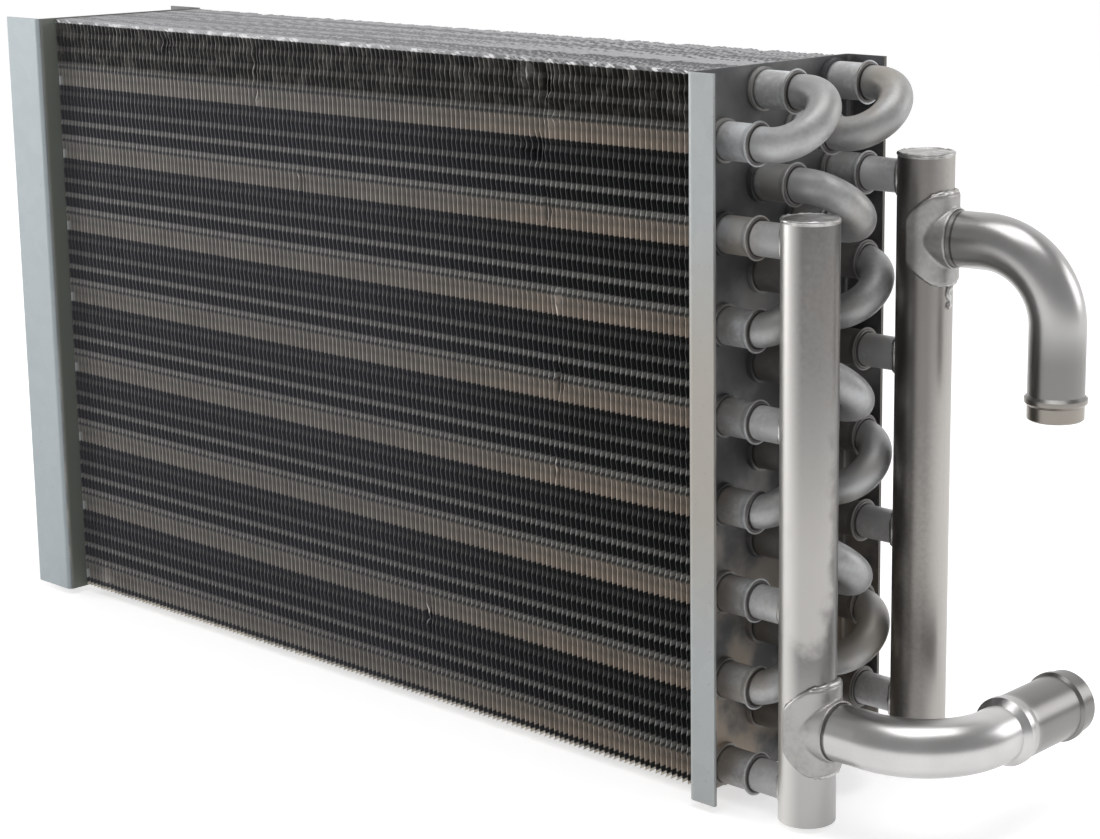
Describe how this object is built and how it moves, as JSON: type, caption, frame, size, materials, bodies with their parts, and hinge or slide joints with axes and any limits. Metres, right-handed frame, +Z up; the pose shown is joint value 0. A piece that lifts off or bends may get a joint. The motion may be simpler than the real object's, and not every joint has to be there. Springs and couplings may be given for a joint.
{
  "type": "heater core",
  "caption": "Finned tube heater core between folded end plates, with return bends and upright header pipes at one end, each with a beaded hose spigot for coolant",
  "frame": {"origin": "middle of the footprint at the lowest point, which is the bottom of the front header", "axes": "X runs along the tubes towards the headers, Y from the front face of the fins to the rear, Z up along the headers"},
  "size_m": [0.6062, 0.1146, 0.3091],
  "materials": {
    "fins": "satin, dusty fin foil",
    "end_plates": "galvanised sheet",
    "tubes": "drawn tube",
    "bends": "brazed, lightly stained",
    "headers": "satin tube",
    "welds": "welded, bright"
  },
  "bodies": {
    "root": {"far_end_plate": "end_plates", "fin_pack": "fins", "front_header": "headers", "front_header_bottom_cap": "welds", "front_header_stub_1": "bends", "front_header_stub_2": "bends", "front_header_stub_3": "bends", "front_header_stub_4": "bends", "front_header_top_cap": "welds", "front_return_bend_1": "bends", "front_return_bend_2": "bends", "front_return_bend_3": "bends", "front_return_bend_4": "bends", "hairpin_tube_1_1": "tubes", "hairpin_tube_1_2": "tubes", "hairpin_tube_1_3": "tubes", "hairpin_tube_1_4": "tubes", "hairpin_tube_2_1": "tubes", "hairpin_tube_2_2": "tubes", "hairpin_tube_2_3": "tubes", "hairpin_tube_2_4": "tubes", "hairpin_tube_3_1": "tubes", "hairpin_tube_3_2": "tubes", "hairpin_tube_3_3": "tubes", "hairpin_tube_3_4": "tubes", "hairpin_tube_4_1": "tubes", "hairpin_tube_4_2": "tubes", "hairpin_tube_4_3": "tubes", "hairpin_tube_4_4": "tubes", "header_end_plate": "end_plates", "lower_outlet_pipe": "headers", "lower_outlet_saddle": "welds", "middle_return_bend_1": "bends", "middle_return_bend_2": "bends", "middle_return_bend_3": "bends", "middle_return_bend_4": "bends", "rear_header": "headers", "rear_header_bottom_cap": "welds", "rear_header_stub_1": "bends", "rear_header_stub_2": "bends", "rear_header_stub_3": "bends", "rear_header_stub_4": "bends", "rear_header_top_cap": "welds", "rear_return_bend_1": "bends", "rear_return_bend_2": "bends", "rear_return_bend_3": "bends", "rear_return_bend_4": "bends", "upper_outlet_pipe": "headers", "upper_outlet_saddle": "welds"}
  },
  "joints": []
}
